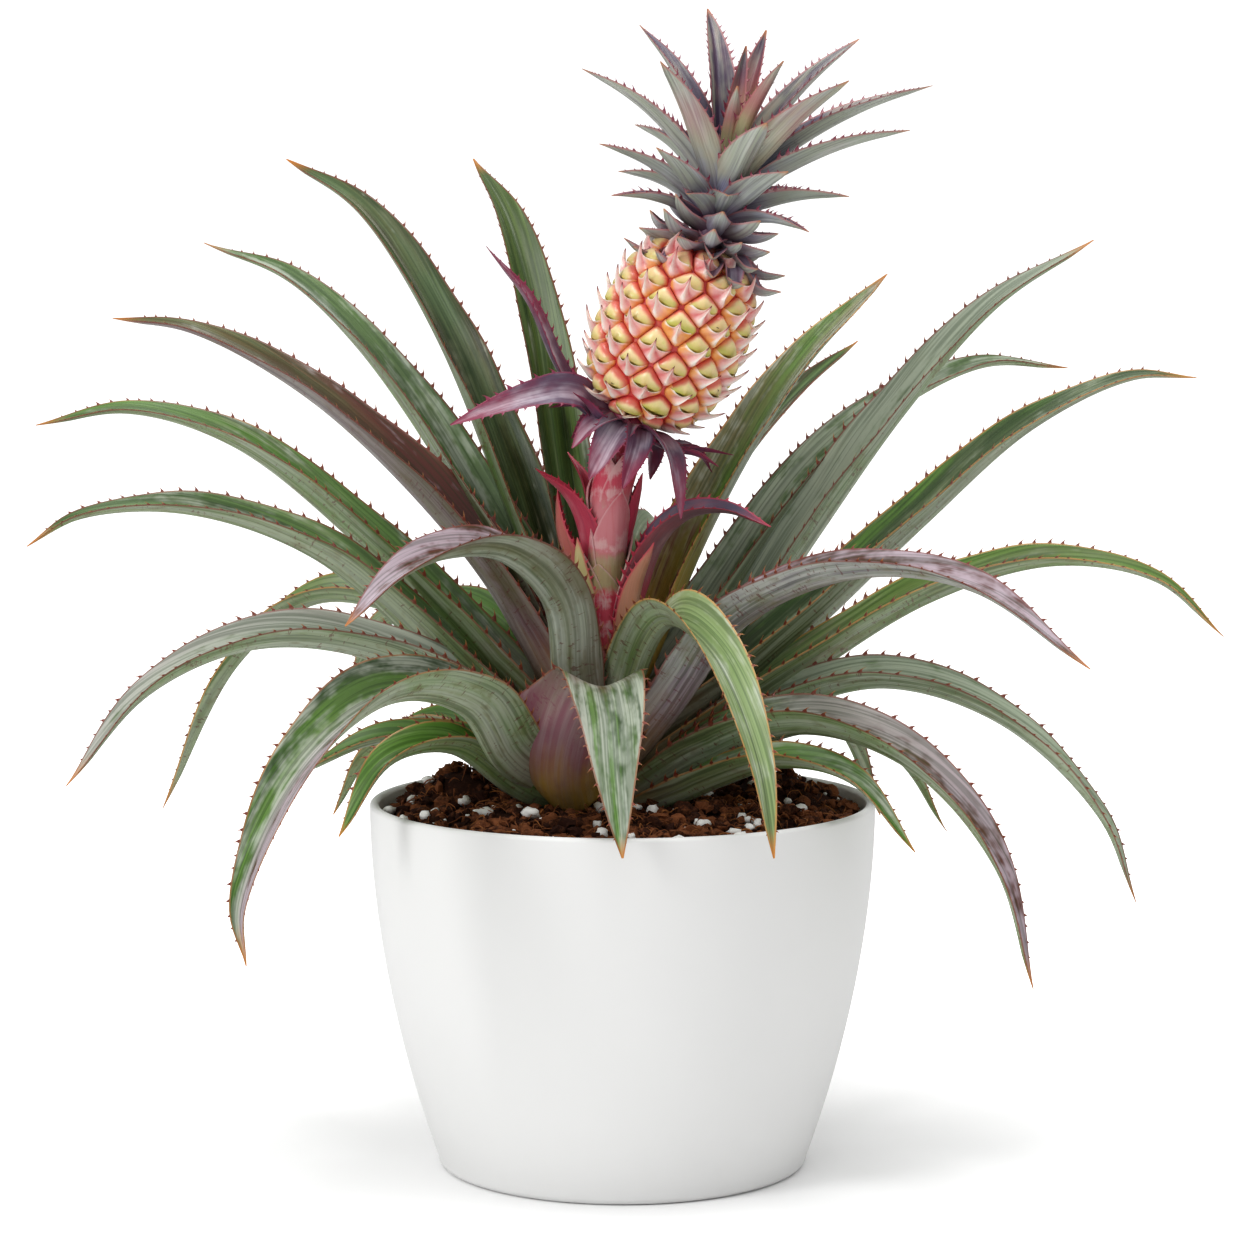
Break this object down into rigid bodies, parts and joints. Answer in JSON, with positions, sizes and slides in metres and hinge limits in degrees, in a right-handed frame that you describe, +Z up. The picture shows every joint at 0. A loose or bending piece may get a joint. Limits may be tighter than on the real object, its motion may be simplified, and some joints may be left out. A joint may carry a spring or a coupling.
{
  "type": "potted pineapple plant",
  "caption": "Ornamental pineapple plant with arching spiny leaves and a small crowned fruit on its stalk, growing in a plain white round pot of soil.",
  "frame": {"origin": "centre of the pot's flat underside", "axes": "+Z up through the pot, +X to the picture's right, -Y towards the picture's camera"},
  "size_m": [0.398, 0.2911, 0.3872],
  "materials": {
    "pot": "smooth satin white",
    "soil": "rough dark brown potting mix",
    "stem": "smooth red plant stalk",
    "fruit": "waxy pink and yellow fruit skin",
    "fruit_collar": "dull purple bracts",
    "crown": "dull grey-green leaves",
    "leaf_green": "satin grey-green leaf",
    "leaf_purple": "satin purple-grey leaf"
  },
  "bodies": {
    "root": {"pot": "pot", "soil": "soil", "stem": "stem", "fruit": "fruit", "fruit_collar": "fruit_collar", "crown": "crown", "leaf_01": "leaf_green", "leaf_02": "leaf_green", "leaf_03": "leaf_purple", "leaf_04": "leaf_green", "leaf_05": "leaf_green", "leaf_06": "leaf_green", "leaf_07": "leaf_green", "leaf_08": "leaf_green", "leaf_09": "leaf_green", "leaf_10": "leaf_green", "leaf_11": "leaf_green", "leaf_12": "leaf_green", "leaf_13": "leaf_green", "leaf_14": "leaf_green", "leaf_15": "leaf_green", "leaf_16": "leaf_green", "leaf_17": "leaf_green", "leaf_18": "leaf_green", "leaf_19": "leaf_purple", "leaf_20": "leaf_green", "leaf_21": "leaf_purple", "leaf_22": "leaf_green", "leaf_23": "leaf_green", "leaf_24": "leaf_green", "leaf_25": "leaf_green", "leaf_26": "leaf_green", "leaf_27": "leaf_green", "leaf_28": "leaf_green", "leaf_29": "leaf_green", "leaf_30": "leaf_green", "leaf_31": "leaf_green", "leaf_32": "leaf_green", "leaf_33": "leaf_green"}
  },
  "joints": []
}
